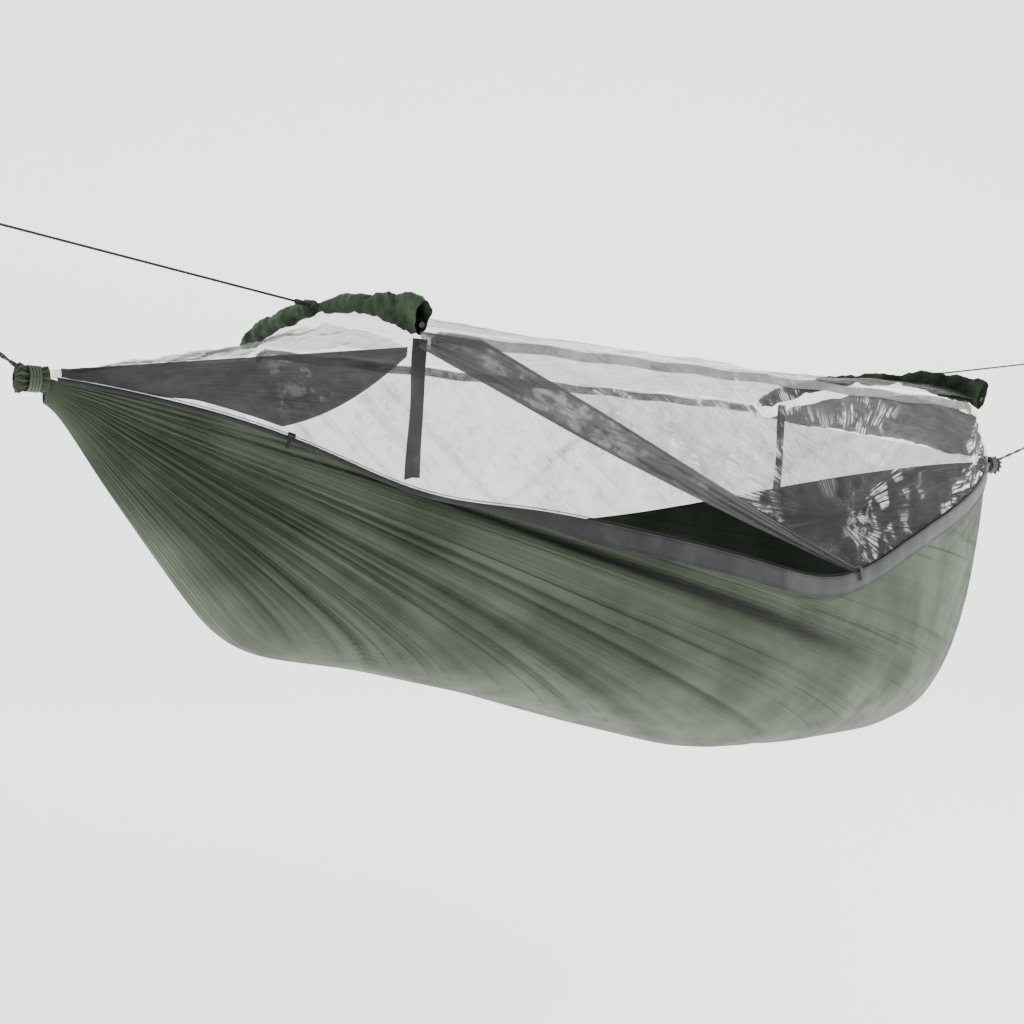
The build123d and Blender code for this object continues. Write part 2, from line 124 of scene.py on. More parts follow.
def keel(x):
    """How deep the bed's lowest line is, with its corners softened."""
    reach = np.linspace(-2.5, 2.5, 11)
    weights = np.exp(-(reach**2) / 2)
    depths = np.interp(np.asarray(x)[..., None] + reach * KEEL_SOFTENING, *np.transpose(KEEL))
    return (depths * weights).sum(-1) / weights.sum()


def bed_points(xs, count, inset):
    """A grid of points on the bed, evenly spaced from the near edge down and up to the far one."""
    turn = np.linspace(-pi / 2, pi / 2, 401)[None, :]
    xs = np.asarray(xs)[:, None]
    (near_y, near_z), (far_y, far_z) = near_edge(xs), far_edge(xs)
    boxy = ROUND_SECTION + (BOXY_SECTION - ROUND_SECTION) * half_width(xs) / half_width(0)
    side_z = np.where(turn < 0, near_z, far_z)
    y = np.sign(turn) * (np.where(turn < 0, -near_y, far_y) - inset) * np.abs(np.sin(turn)) ** (2 / boxy)
    z = side_z - (side_z + keel(xs) - inset) * np.abs(np.cos(turn)) ** (2 / boxy)
    steps = np.hypot(np.diff(y, axis=1), np.diff(z, axis=1))
    along = np.concatenate([np.zeros_like(xs), np.cumsum(steps, axis=1)], axis=1)
    places = [np.interp(np.linspace(0, a[-1], count), a, np.arange(a.size)) for a in along]
    y, z = ([np.interp(p, np.arange(v.shape[1]), v[i]) for i, p in enumerate(places)] for v in (y, z))
    return np.broadcast_to(xs, (xs.size, count)), np.array(y), np.array(z)


def normals(points):
    """The unit normals of a grid of points, out of a U that runs from the near side to the far side."""
    across = np.cross(np.gradient(points, axis=0), np.gradient(points, axis=1))
    return -across / np.maximum(np.linalg.norm(across, axis=-1, keepdims=True), 1e-9)


def crease_lines(seed, first, last, count, width, deep, reach):
    """Creases that run out from a gather: rows of an angle and a width in degrees, a depth and a reach."""
    rng = np.random.default_rng(seed)
    places = np.linspace(first, last, count) + rng.normal(0, 0.3 * (last - first) / count, count)
    return [
        (place, rng.uniform(*width), rng.uniform(*deep), rng.uniform(*reach))
        for place in places
    ]


def creased(angle, distance, lines):
    """How deep the cloth lies in its creases, at angles and distances from a gather."""
    depth = np.zeros_like(angle)
    for place, width, deep, reach in lines:
        fade = smooth_step(reach, 0.45 * reach, distance) * np.minimum(distance / 0.4, 1)
        off = np.abs(angle - place) / width
        depth += deep * fade * (0.5 * np.exp(-off) + 0.5 * np.exp(-(off**2)))
    return depth


def pleats(x, y, z, share):
    """The depth of the bed's pleats. share runs from 0 at the near edge to 1 at the far one."""
    near = y < 0
    depth = np.zeros_like(y)
    for gather, first, last, count, deep, reach, seed in (
        (-HALF_LENGTH, 13.0, 50, 44, (0.002, 0.0062), (0.6, 2.2), 11),
        (HALF_LENGTH, 13.5, 66, 34, (0.001, 0.0036), (0.25, 0.9), 23),
    ):
        distance = np.hypot(np.abs(x - gather), z)
        angle = np.degrees(np.arctan2(-z, np.abs(x - gather)))
        for side, offset in ((near, 0), (~near, 100)):
            lines = crease_lines(seed + offset, first, last, count, (0.2, 0.55), deep, reach)
            depth += np.where(side, creased(angle, distance, lines), 0)
        if gather < 0:
            fade = smooth_step(0.25, 0.8, distance) * smooth_step(1.95, 1.1, distance)
            depth += 0.009 * bump(angle, 1, 15.6, 1.1) * fade
    bottom = np.abs(share - 0.5)
    depth *= smooth_step(0.05, 0.22, bottom)
    end = np.abs(np.abs(x) - HALF_LENGTH)
    rng = np.random.default_rng(5)
    close = np.zeros_like(y)
    for place in np.linspace(0.01, 0.99, 52) + rng.normal(0, 0.004, 52):
        close += rng.uniform(0.5, 1) * np.exp(-np.abs(share - place) / 0.004)
    depth += 0.0042 * close * smooth_step(0.42, 0.06, end) * np.minimum(end / 0.09, 1)
    return depth


# Meshes


def made(name, mesh, material, body="hammock", replaces=()):
    """A visible piece of one material. It rides on a body and stands for the CAD nodes it replaces."""
    mesh.materials.append(material)
    piece = bpy.data.objects.new(name, mesh)
    bpy.context.scene.collection.objects.link(piece)
    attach(piece, body)
    if replaces:
        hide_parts(*replaces)
    return piece


def keep_values(mesh, values):
    """Keeps a number at each vertex, for the materials to read."""
    for key, value in values.items():
        kept = mesh.attributes.new(key, "FLOAT", "POINT")
        kept.data.foreach_set("value", np.ravel(value).astype(np.float32))


def grid_mesh(name, points, closed=False, **values):
    """A mesh from a grid of points, joined round across if closed. The values are kept on it."""
    n, m = points.shape[:2]
    index = np.arange(n * m).reshape(n, m)
    if closed:
        index = np.concatenate([index, index[:, :1]], axis=1)
    faces = np.stack([index[:-1, :-1], index[1:, :-1], index[1:, 1:], index[:-1, 1:]], -1).reshape(-1, 4)
    mesh = bpy.data.meshes.new(name)
    mesh.from_pydata(points.reshape(-1, 3).tolist(), [], faces.tolist())
    keep_values(mesh, values)
    mesh.polygons.foreach_set("use_smooth", [True] * len(mesh.polygons))
    mesh.update()
    return mesh


def cloth_sizes(points):
    """How far along and across the cloth each point of a grid is, in metres."""
    along = np.linalg.norm(np.diff(points, axis=0), axis=-1).mean(axis=1)
    across = np.linalg.norm(np.diff(points, axis=1), axis=-1).mean(axis=0)
    u = np.concatenate([[0], np.cumsum(along)])
    v = np.concatenate([[0], np.cumsum(across)])
    return np.meshgrid(u, v, indexing="ij")


def cloth_mesh(name, points, fold=0.0, ray=0.0, **more):
    """A sheet of cloth: fold is how deep it lies in a fold, which the ripstop paints as shade and the net shows
    as denser mesh, and ray counts the lines that cross it.
    """
    u, v = cloth_sizes(points)
    return grid_mesh(name, points, cloth_u=u, cloth_v=v, fold=fold + 0 * u, ray=ray + 0 * u, **more)


def closed_ribbon(name, points, outward, thickness):
    """A strip of webbing with a real thickness, from a grid of points across its face."""
    back = points - outward * thickness
    loop = np.concatenate([points, back[:, ::-1]], axis=1)
    u, v = cloth_sizes(loop)
    n, m = loop.shape[:2]
    mesh = grid_mesh(name, loop, closed=True, cloth_u=u, cloth_v=v)
    end_faces = [list(range(m))[::-1], [(n - 1) * m + i for i in range(m)]]
    vertices = [tuple(vertex.co) for vertex in mesh.vertices]
    faces = [tuple(p.vertices) for p in mesh.polygons] + end_faces
    strip = bpy.data.meshes.new(name + "_strip")
    strip.from_pydata(vertices, [], faces)
    keep_values(strip, {"cloth_u": u, "cloth_v": v})
    return strip


def tube_points(line, radius, sides):
    """Rings of points round a line, each square to it."""
    tangent = np.gradient(line, axis=0)
    tangent /= np.linalg.norm(tangent, axis=1, keepdims=True)
    side = np.cross(tangent, (0.3, 0.2, 1.0))
    side /= np.linalg.norm(side, axis=1, keepdims=True)
    up = np.cross(side, tangent)
    turn = np.linspace(0, 2 * pi, sides, endpoint=False)[None, :, None]
    return line[:, None] + radius * (np.cos(turn) * side[:, None] + np.sin(turn) * up[:, None])


def join(pieces):
    """Joins objects into the first of them."""
    bpy.ops.object.select_all(action="DESELECT")
    for piece in pieces:
        piece.select_set(True)
    bpy.context.view_layer.objects.active = pieces[0]
    bpy.ops.object.join()
    return pieces[0]


# Materials


class Shader:
    """A material's nodes, with short ways to add and join them."""

    def __init__(self, name, **plain):
        self.material = bpy.data.materials.new(name)
        self.material.use_nodes = True
        self.nodes = self.material.node_tree.nodes
        self.links = self.material.node_tree.links
        self.surface = self.nodes["Principled BSDF"]
        for socket, value in plain.items():
            self.surface.inputs[socket.replace("_", " ")].default_value = value

    def add(self, kind, **settings):
        node = self.nodes.new("ShaderNode" + kind)
        for key, value in settings.items():
            setattr(node, key, value)
        return node

    def put(self, node, socket, value):
        if isinstance(value, bpy.types.NodeSocket):
            self.links.new(value, node.inputs[socket])
        elif value is not None:
            node.inputs[socket].default_value = value

    def kept(self, name):
        """A number that the mesh keeps at each vertex."""
        return self.add("Attribute", attribute_name=name).outputs["Fac"]

    def math(self, operation, a, b=None, c=None):
        node = self.add("Math", operation=operation)
        for i, value in enumerate((a, b, c)):
            self.put(node, i, value)
        return node.outputs[0]

    def place(self):
        return self.add("TexCoord").outputs["Object"]

    def stretched(self, x, y, z):
        node = self.add("CombineXYZ")
        for socket, value in zip("XYZ", (x, y, z)):
            self.put(node, socket, value)
        return node.outputs[0]

    def noise(self, vector, scale, detail=4.0, roughness=0.55):
        node = self.add("TexNoise")
        self.put(node, "Vector", vector)
        for socket, value in (("Scale", scale), ("Detail", detail), ("Roughness", roughness)):
            self.put(node, socket, value)
        return node.outputs["Fac"]

    def between(self, value, low, high, to_low=0.0, to_high=1.0):
        """The value's smooth way from low to high, mapped to another range."""
        node = self.add("MapRange", interpolation_type="SMOOTHSTEP")
        for i, number in enumerate((value, low, high, to_low, to_high)):
            self.put(node, i, number)
        return node.outputs[0]

    def yarns(self, u, v, pitch, start, full):
        """A square grid of lines, one pitch apart."""
        steps = (self.math("FRACT", self.math("DIVIDE", w, pitch)) for w in (u, v))
        return self.math("MAXIMUM", *(self.between(step, start, full) for step in steps))

    def blend(self, share, a, b):
        node = self.add("Mix", data_type="RGBA")
        self.put(node, 0, share)
        self.put(node, 6, a)
        self.put(node, 7, b)
        return node.outputs[2]

    def bump(self, height, strength, distance, below=None):
        node = self.add("Bump")
        self.put(node, "Strength", strength)
        self.put(node, "Distance", distance)
        self.put(node, "Height", height)
        self.put(node, "Normal", below)
        return node.outputs[0]

    def give(self, **sockets):
        """Sets or joins the surface's sockets, and gives the finished material."""
        for socket, value in sockets.items():
            self.put(self.surface, socket.replace("_", " "), value)
        return self.material


def linear(red, green, blue):
    """A colour from its sRGB values, 0 to 255."""
    values = [c / 255 for c in (red, green, blue)]
    return (*(v / 12.92 if v <= 0.04045 else ((v + 0.055) / 1.055) ** 2.4 for v in values), 1.0)


# dark is the colour of the painted crease shade; light gives random lighter patches, the yarn grid and the
# painted crease highlights.
def ripstop(name, base, light, dark, ray_lines):
    """Nylon ripstop: a fine square grid of thicker yarns, painted shade in its creases and folds, painted
    highlights on the ridges of its fine creases, and a soft sheen.
    """
    s = Shader(name, Roughness=0.5, Specular_IOR_Level=0.12)
    u, v, fold, ray = (s.kept(key) for key in ("cloth_u", "cloth_v", "fold", "ray"))
    patches = s.between(s.noise(s.place(), 5.0, 3.0), 0.35, 0.65)
    lines = s.noise(s.stretched(ray, 0.0, s.math("MULTIPLY", u, 0.25)), 1.5, 6.0, 0.8)
    still = s.kept("still")
    lanes = s.noise(s.stretched(s.kept("lane"), 0.0, s.math("MULTIPLY", u, 0.5)), 0.8, 4.0, 0.6)
    lines = s.math("MULTIPLY_ADD", s.math("SUBTRACT", lines, 0.5), s.math("SUBTRACT", 1.0, still), 0.5)
    lines = s.math("MULTIPLY_ADD", s.math("SUBTRACT", lanes, 0.5), s.math("MULTIPLY", still, 0.7), lines)
    colour = s.blend(patches, base, light)
    # Painted shade in the valleys of the fine crease lines, and painted highlights on their ridges, as strong
    # as ray_lines.
    colour = s.blend(s.math("MULTIPLY", s.between(lines, 0.47, 0.36), ray_lines), colour, dark)
    colour = s.blend(s.math("MULTIPLY", s.between(lines, 0.54, 0.64), 0.45 * ray_lines), colour, light)
    # Painted shade in the folds, darker where the fold is deeper.
    colour = s.blend(s.math("MULTIPLY", fold, 0.9), colour, dark)
    grid = s.yarns(u, v, 0.006, 0.86, 0.93)
    colour = s.blend(s.math("MULTIPLY", grid, 0.16), colour, light)
    fuzz = s.math("MULTIPLY", s.noise(s.place(), 900.0, 2.0), 0.4)
    weave = s.math("ADD", s.math("MULTIPLY", grid, 0.6), fuzz)
    fine = s.bump(weave, 0.25, 0.0004)
    drape = s.bump(lines, 0.7, 0.004, fine)
    crumple = s.bump(s.noise(s.place(), 38.0, 4.0, 0.6), 0.25, 0.003, drape)
    rough = s.between(s.noise(s.place(), 14.0), 0.3, 0.7, 0.5, 0.66)
    return s.give(Base_Color=colour, Roughness=rough, Normal=crumple)


def net(name, base, shine, alpha, painted_glints, streaks, glint_width=0.035):
    """Fine insect net: thin enough to see through, denser in folds, with painted bright glints along them."""
    s = Shader(name, Sheen_Weight=0.08, Specular_IOR_Level=0.5)
    u, v, fold, ray = (s.kept(key) for key in ("cloth_u", "cloth_v", "fold", "ray"))
    place = s.place()
    soft = s.between(s.noise(place, 3.5, 3.0), 0.35, 0.7)
    mottle = s.between(s.noise(place, 34.0, 4.0, 0.7), 0.4, 0.62)
    along = (s.math("MULTIPLY", value, rate) for value, rate in ((ray, 0.35), (u, 1.6), (v, 1.6)))
    fan = s.noise(s.stretched(*along), 1.0, 5.0, 0.75)
    lines = s.between(s.math("ABSOLUTE", s.math("SUBTRACT", fan, 0.5)), glint_width, 0.0)
    dashes = s.between(s.noise(place, 30.0, 3.0), 0.44, 0.6)
    patches = s.between(s.noise(place, 4.1, 2.0), 0.42, 0.56)
    # The glints are painted highlights: thin broken lines along the fan that get the shine colour and more
    # opacity.
    glints = s.math("MULTIPLY", s.math("MULTIPLY", lines, dashes), s.math("MULTIPLY", patches, painted_glints))
    folds = s.math("MULTIPLY", s.between(fan, 0.5, 0.68), streaks)
    mesh = s.yarns(u, v, 0.0014, 0.7, 0.85)
    colour = s.blend(glints, base, shine)
    through = s.math("ADD", alpha, s.math("MULTIPLY", soft, alpha * 0.3))
    through = s.math("ADD", through, s.math("MULTIPLY", mottle, alpha * 0.3))
    through = s.math("ADD", through, s.math("MULTIPLY", folds, 0.6 * (1 - alpha)))
    through = s.math("ADD", through, s.math("MULTIPLY", fold, 0.85))
    through = s.math("ADD", through, s.math("MULTIPLY", glints, 0.7))
    through = s.math("MINIMUM", through, 0.97)
    bumped = s.bump(fan, 0.8, 0.004, s.bump(mesh, 0.2, 0.0003))
    rough = s.between(glints, 0.0, 0.6, 0.5, 0.25)
    return s.give(Base_Color=colour, Alpha=through, Roughness=rough, Normal=bumped)


def webbing(name, base, light, rib=0.0022):
    """Woven tape: ribs across it, a finer weave, and worn lighter patches."""
    s = Shader(name, Sheen_Weight=0.3, Specular_IOR_Level=0.4)
    u, v = s.kept("cloth_u"), s.kept("cloth_v")
    ribs = s.math("ABSOLUTE", s.math("SINE", s.math("MULTIPLY", u, pi / rib)))
    cross = s.math("ABSOLUTE", s.math("SINE", s.math("MULTIPLY", v, pi / rib * 1.6)))
    weave = s.math("MULTIPLY", ribs, s.math("ADD", s.math("MULTIPLY", cross, 0.5), 0.5))
    worn = s.between(s.noise(s.place(), 21.0), 0.45, 0.75, 0.0, 0.7)
    colour = s.blend(worn, base, light)
    colour = s.blend(s.math("MULTIPLY", weave, 0.25), colour, light)
    rough = s.between(worn, 0.0, 0.7, 0.75, 0.6)
    return s.give(Base_Color=colour, Roughness=rough, Normal=s.bump(weave, 0.5, 0.0006))


def braided(name, base, light, pitch=0.006):
    """Braided cord: two sets of strands that cross round it."""
    s = Shader(name, Sheen_Weight=0.25, Specular_IOR_Level=0.4)
    u, v = s.kept("cloth_u"), s.kept("cloth_v")
    one = s.math("SINE", s.math("MULTIPLY", s.math("ADD", u, s.math("MULTIPLY", v, 0.5)), 2 * pi / pitch))
    slant = s.math("SUBTRACT", u, s.math("MULTIPLY", v, 0.5))
    other = s.math("SINE", s.math("MULTIPLY", slant, 2 * pi / pitch))
    strands = s.between(s.math("MAXIMUM", one, other), 0.2, 0.95)
    colour = s.blend(s.math("MULTIPLY", strands, 0.6), base, light)
    rough = s.between(strands, 0.0, 1.0, 0.8, 0.6)
    return s.give(Base_Color=colour, Roughness=rough, Normal=s.bump(strands, 0.6, 0.0006))


def metal(name, base, roughness, metallic=1.0):
    """Metal or metallic paint with fine scratches and duller patches."""
    s = Shader(name, Metallic=metallic)
    marks = s.noise(s.place(), 120.0, 5.0, 0.7)
    worn = s.between(marks, 0.35, 0.7)
    dull = tuple(0.7 * c for c in base[:3]) + (1.0,)
    rough = s.between(marks, 0.3, 0.7, roughness - 0.08, roughness + 0.12)
    return s.give(Base_Color=s.blend(worn, dull, base), Roughness=rough, Normal=s.bump(marks, 0.12, 0.0003))


def moulded(name, base, roughness):
    """Plastic or fibre with a fine grain."""
    s = Shader(name, Specular_IOR_Level=0.45)
    grain = s.noise(s.place(), 350.0, 3.0)
    light = tuple(min(1, 1.6 * c + 0.01) for c in base[:3]) + (1.0,)
    rough = s.between(grain, 0.3, 0.7, roughness - 0.06, roughness + 0.1)
    return s.give(Base_Color=s.blend(s.between(grain, 0.5, 0.8, 0, 0.4), base, light), Roughness=rough,
                  Normal=s.bump(grain, 0.2, 0.0002))


BLACK_CORD = linear(34, 35, 37)
GREY_CORD = linear(88, 90, 94)
OLIVE = linear(63, 72, 58)
OLIVE_LIGHT = linear(87, 97, 81)
# The darkest olive is the colour of the painted shade in the cloth's creases and folds.
OLIVE_CREASE_SHADE = linear(12, 16, 8)

outer_cloth = ripstop("bed_ripstop", OLIVE, OLIVE_LIGHT, OLIVE_CREASE_SHADE, ray_lines=0.75)
inner_cloth = ripstop("bed_lining_ripstop", linear(62, 72, 60), linear(84, 95, 82), OLIVE_CREASE_SHADE, ray_lines=0.3)
# The sleeve's third colour is the painted shade in its crumples.
sleeve_colours = (linear(44, 56, 42), linear(84, 108, 80), linear(12, 18, 10))
sleeve_cloth = ripstop("sleeve_ripstop", *sleeve_colours, ray_lines=0.5)
net_clear = net("net_stretched", linear(92, 86, 89), linear(235, 230, 234), 0.33, painted_glints=0.3, streaks=0.4)
net_roof = net("net_roof", linear(96, 92, 95), linear(240, 238, 242), 0.28, painted_glints=0.3, streaks=0.35)
# This net has the widest and strongest painted glints.
net_crinkled_glints = net("net_crinkled_glints", linear(64, 66, 66), linear(245, 245, 248), 0.24,
                   painted_glints=1.0, streaks=0.45, glint_width=0.06)
net_gathered = net("net_gathered", linear(16, 17, 18), linear(150, 150, 160), 0.9, painted_glints=0.05, streaks=0.9)
net_band = net("net_band", linear(36, 36, 39), linear(140, 140, 146), 0.74, painted_glints=0.04, streaks=0.3)
net_seam = net("net_seam", linear(104, 100, 98), linear(190, 186, 184), 0.5, painted_glints=0.2, streaks=0.2)
tape_cloth = webbing("edge_webbing", linear(22, 23, 25), linear(44, 46, 49))
strap_cloth = webbing("strap_webbing", linear(24, 26, 28), linear(56, 57, 61))
binding_cloth = webbing("edge_binding", linear(52, 48, 42), linear(84, 80, 70), 0.0016)
zip_coil = moulded("zip_coil", linear(28, 28, 30), 0.45)
thread = webbing("stitching", linear(14, 14, 15), linear(40, 40, 42), 0.001)
whipping_cord = braided("whipping_cord", linear(52, 62, 46), linear(96, 108, 84), 0.004)
black_cord = braided("suspension_cord", BLACK_CORD, GREY_CORD)
ring_steel = metal("ring_steel", linear(190, 190, 192), 0.28)
ferrule_steel = metal("ferrule_steel", linear(200, 200, 200), 0.25)
slider_paint = metal("slider_paint", linear(58, 58, 60), 0.4, metallic=0.6)
pole_fibre = moulded("pole_fibre", linear(24, 25, 27), 0.35)
tip_plastic = moulded("tip_plastic", linear(18, 18, 18), 0.5)
elastic = braided("elastic_cord", linear(24, 24, 25), linear(60, 60, 62), 0.003)



def repaint(node, material):
    """Gives a CAD node its material."""
    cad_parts[node].data.materials.clear()
    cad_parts[node].data.materials.append(material)


for ending, material in (
    ("main_ring", ring_steel), ("ridge_ring", ring_steel),
    ("slider", slider_paint), ("slider_pull", slider_paint),
    ("pole_ferrule", ferrule_steel), ("pole_tips", tip_plastic), ("pole_shock_cord", elastic),
    ("pole_near_section", pole_fibre), ("pole_far_section", pole_fibre),
    ("main_eye", black_cord), ("ridge_inner_eye", black_cord), ("ridge_outer_eye", black_cord),
    ("ridge_loop", black_cord),
):
    repaint("head_" + ending, material)
    repaint("foot_" + ending, material)


# The bed


def make_layer(name, material, xs, count, inset, node):
    """One of the bed's two layers of pleated cloth, on a grid of count points across it."""
    x, y, z = bed_points(xs, count, inset)
    share = np.broadcast_to(np.linspace(0, 1, count), x.shape)
    depth = pleats(x, y, z, share)
    points = row(x, y, z)
    points = points - normals(points) * depth[..., None]
    ray = np.degrees(np.arctan2(-z, x + HALF_LENGTH + 0.03))
    still = smooth_step(0.25, 0.08, np.abs(share - 0.5))
    # Painted shade: the pleat depth, kept as fold, darkens the pleats' valleys; ray carries the fine crease
    # lines that get painted shade and highlights.
    mesh = cloth_mesh(name, points, np.clip(depth / 0.0085, 0, 1) ** 1.2, ray, still=still, lane=60 * share)
    piece = made(name, mesh, material, replaces=(node,))


def spaced_stations(end, count):
    """Stations along the bed, closer together towards the gathers."""
    widest = 1.35
    return end * np.sin(np.linspace(-widest, widest, count)) / sin(widest)


outer_stations, inner_stations = spaced_stations(1.107, 230), spaced_stations(1.085, 150)
make_layer("bed_outer_cloth", outer_cloth, outer_stations, 400, 0.0, "bed_outer_layer")
make_layer("bed_inner_cloth", inner_cloth, inner_stations, 220, LAYER_GAP, "bed_inner_layer")


def hem_width(x):
    """The near hem is rolled in at the head and opens to its full width towards the foot."""
    return 0.008 + 0.028 * smooth_step(-0.56, -0.36, x) * smooth_step(1.06, 0.9, x)


def hem_waves(x):
    """How far the hem waves in and out."""
    return 0.0005 * np.sin(x * 47) + 0.0003 * np.sin(x * 111 + 1)


def make_hem(name, edge, side, width, material, node):
    """A hem along one edge of the bed."""
    x = np.linspace(-HEM_END_X, HEM_END_X, 300)
    y, z = edge(x)
    drop = np.linspace(0, 1, 7)
    wide = width(x)[:, None]
    face = y[:, None] + side * (HEM_OFF + HEM_CROWN * np.sin(pi * drop) + hem_waves(x)[:, None])
    points = row(x[:, None], face, z[:, None] + HEM_PROUD - wide * drop)
    outward = np.array([0.0, side, 0.0])
    made(name, closed_ribbon(name, points, outward, HEM_THICKNESS), material, replaces=(node,))


def narrow(x):
    """The far hem's width."""
    return np.full_like(x, 0.009)


make_hem("near_edge_hem", near_edge, -1, hem_width, tape_cloth, "near_hem")
make_hem("far_edge_hem", far_edge, 1, narrow, binding_cloth, "far_hem")


def make_stitching(name, drop, start, stop):
    """A row of stitches along the near hem: a thread that dips in and out of its face."""
    x = np.linspace(start, stop, int((stop - start) / 0.0007))
    y, z = near_edge(x)
    face = y - HEM_OFF - HEM_CROWN * np.sin(pi * drop) - hem_waves(x) - HEM_THICKNESS
    dips = STITCH_DIP * np.sin(x / STITCH_LENGTH * 2 * pi)
    line = row(x, face - dips, z + HEM_PROUD - hem_width(x) * drop)
    made(name, grid_mesh(name, tube_points(line, THREAD_RADIUS, 5), closed=True), thread)


for label, drop in (("upper", 0.07), ("lower", 0.93)):
    make_stitching(f"near_hem_{label}_stitches", drop, -0.4, 0.98)


def make_zip():
    """The zip's coil along the near edge, a helix pressed flat."""
    x = np.linspace(-0.98, 0.98, 3000)
    y, z = near_edge(x)
    turn = x / ZIP_PITCH * 2 * pi
    line = row(x, y - 0.002 + 0.0011 * np.cos(turn), z + HEM_PROUD + ZIP_RISE + 0.0009 * np.sin(turn))
    mesh = grid_mesh("door_zip_coil", tube_points(line, COIL_RADIUS, 4), closed=True)
    made("door_zip_coil", mesh, zip_coil, replaces=("door_zip",))


make_zip()


# The net


def net_top(x):
    """The y and z of the far panel's top edge: up from the gathers to the poles and level between them."""
    y = np.interp(x, (-NET_END_X, -POLE_X, POLE_X, NET_END_X), (0.022, 0.297, 0.297, 0.022))
    places = (-NET_END_X, -POLE_X, -SEAM_X, SEAM_X, POLE_X, NET_END_X)
    z = np.interp(x, places, (0.018, 0.082, 0.109, 0.109, 0.082, 0.018))
    return y, z


def over_zip(edge):
    """The net's lower edge, just above an edge of the bed."""
    y, z = edge
    return y, z + ABOVE_ZIP


def near_top(x):
    """The near panels' top edge."""
    y, z = net_top(x)
    return -y, z


def door_line(x):
    """The lifted lower edge of the near net, from the head pole's near end down to the door's foot corner."""
    start_y, start_z = near_top(-SEAM_X)
    end_y, end_z = over_zip(near_edge(np.maximum(x, DOOR_FOOT_X)))
    share = np.clip((x + POLE_X) / (DOOR_FOOT_X + POLE_X), 0, 1)
    sag = 0.012 * np.sin(pi * share)
    return mix(start_y, end_y, share), mix(start_z - 0.024, end_z, share) - sag


def wavy(points, height, scale, seed):
    """A grid of points with soft waves across its face."""
    flat = points.reshape(-1, 3)
    shift = Vector((seed * 7.1, seed * 3.3, seed * 1.7))
    waves = np.array([noise.fractal(Vector(p) * scale + shift, 0.7, 2.0, 4) for p in flat])
    return points + normals(points) * (height * waves.reshape(points.shape[:2] + (1,)))


def panel(name, top, low, xs, material, node, waves, scale, seed, fold=None, rays=None):
    """A net panel between two seams, each giving y and z at x. Its flat size is its own, and a little ease."""
    (top_y, top_z), (low_y, low_z) = top(xs), low(xs)
    share = np.linspace(0, 1, 48)[None, :]
    x = xs[:, None]
    points = row(x, mix(top_y[:, None], low_y[:, None], share), mix(top_z[:, None], low_z[:, None], share))
    moved = wavy(points, waves, scale, seed)
    hold = (np.sin(pi * share) ** 0.5)[..., None]
    points = points + (moved - points) * hold
    depth = 0.0 if fold is None else fold(x, share)
    ray = 45 * points[..., 0] + 60 * points[..., 2] if rays is None else rays(points)
    piece = made(name, cloth_mesh(name, points, depth, ray), material, replaces=(node,))


def far_folds(x, share):
    """Soft folds that lean across the far panel, each with a place, a lean and a width."""
    folds = 0
    for place, lean, width in (
        (-0.55, 0.25, 0.012),
        (-0.2, 0.5, 0.016),
        (0.12, -0.3, 0.014),
        (0.35, 0.4, 0.02),
        (0.75, -0.2, 0.018),
    ):
        folds = folds + np.exp(-(((x - place - lean * (share - 0.5)) / width) ** 2))
    return 0.16 * folds


def about(centre, often):
    """Angles in degrees about a centre, seen from the side, for the lines that fan from it."""
    x, z = centre
    centre_x, _, centre_z = row(x, 0, z)
    return lambda points: often * np.degrees(np.arctan2(points[..., 2] - centre_z, points[..., 0] - centre_x))


def near_head_low(x):
    """From the bed's edge, with room for the slider, to the door's head side, which leans up to the pole."""
    y, z = over_zip(near_edge(x))
    z = z + SLIDER_ROOM * smooth_step(-0.98, -0.92, x)
    share = np.clip((x - DOOR_HEAD_X) / (-DOOR_HEAD_X - POLE_X), 0, 1)
    top_y, top_z = near_top(x)
    return mix(y, top_y, share), mix(z, top_z, share)


def far_low(x):
    """The far panel's lower edge."""
    return over_zip(far_edge(x))


panel("net_far_cloth", net_top, far_low, np.linspace(-PANEL_END_X, PANEL_END_X, 240), net_clear,
      "net_far_panel", waves=0.012, scale=5, seed=3, fold=far_folds)
panel("net_near_foot_cloth", near_top, door_line, np.linspace(-0.63, PANEL_END_X, 230), net_crinkled_glints,
      "net_near_foot_panel", waves=0.009, scale=8, seed=5, rays=about((DOOR_FOOT_X - 0.02, -0.14), 1.0))
panel("net_near_head_cloth", near_top, near_head_low, np.linspace(-PANEL_END_X, -NET_POLE_X, 100), net_gathered,
      "net_near_head_panel", waves=0.014, scale=9, seed=7, rays=about((-HALF_LENGTH, 0.0), 2.0))


def make_roof():
    """The net between the poles, which sags a little between them."""
    reach = POLE_X - 0.012
    x = np.linspace(-reach, reach, 150)[:, None]
    turn = np.linspace(-BOW_ANGLE, BOW_ANGLE, 60)[None, :]
    sag = 0.03 * (1 - (x / reach) ** 2) * np.cos(turn / BOW_ANGLE * pi / 2)
    points = row(x, -BOW_RADIUS * np.sin(turn), BOW_CENTRE_Z + BOW_RADIUS * np.cos(turn) - sag)
    points = wavy(points, 0.006, 6, 9)
    mesh = cloth_mesh("net_roof_cloth", points, 0.0, 45 * points[..., 1] + 12 * points[..., 0])
    roof = made("net_roof_cloth", mesh, net_roof, replaces=("net_top_panel",))


make_roof()


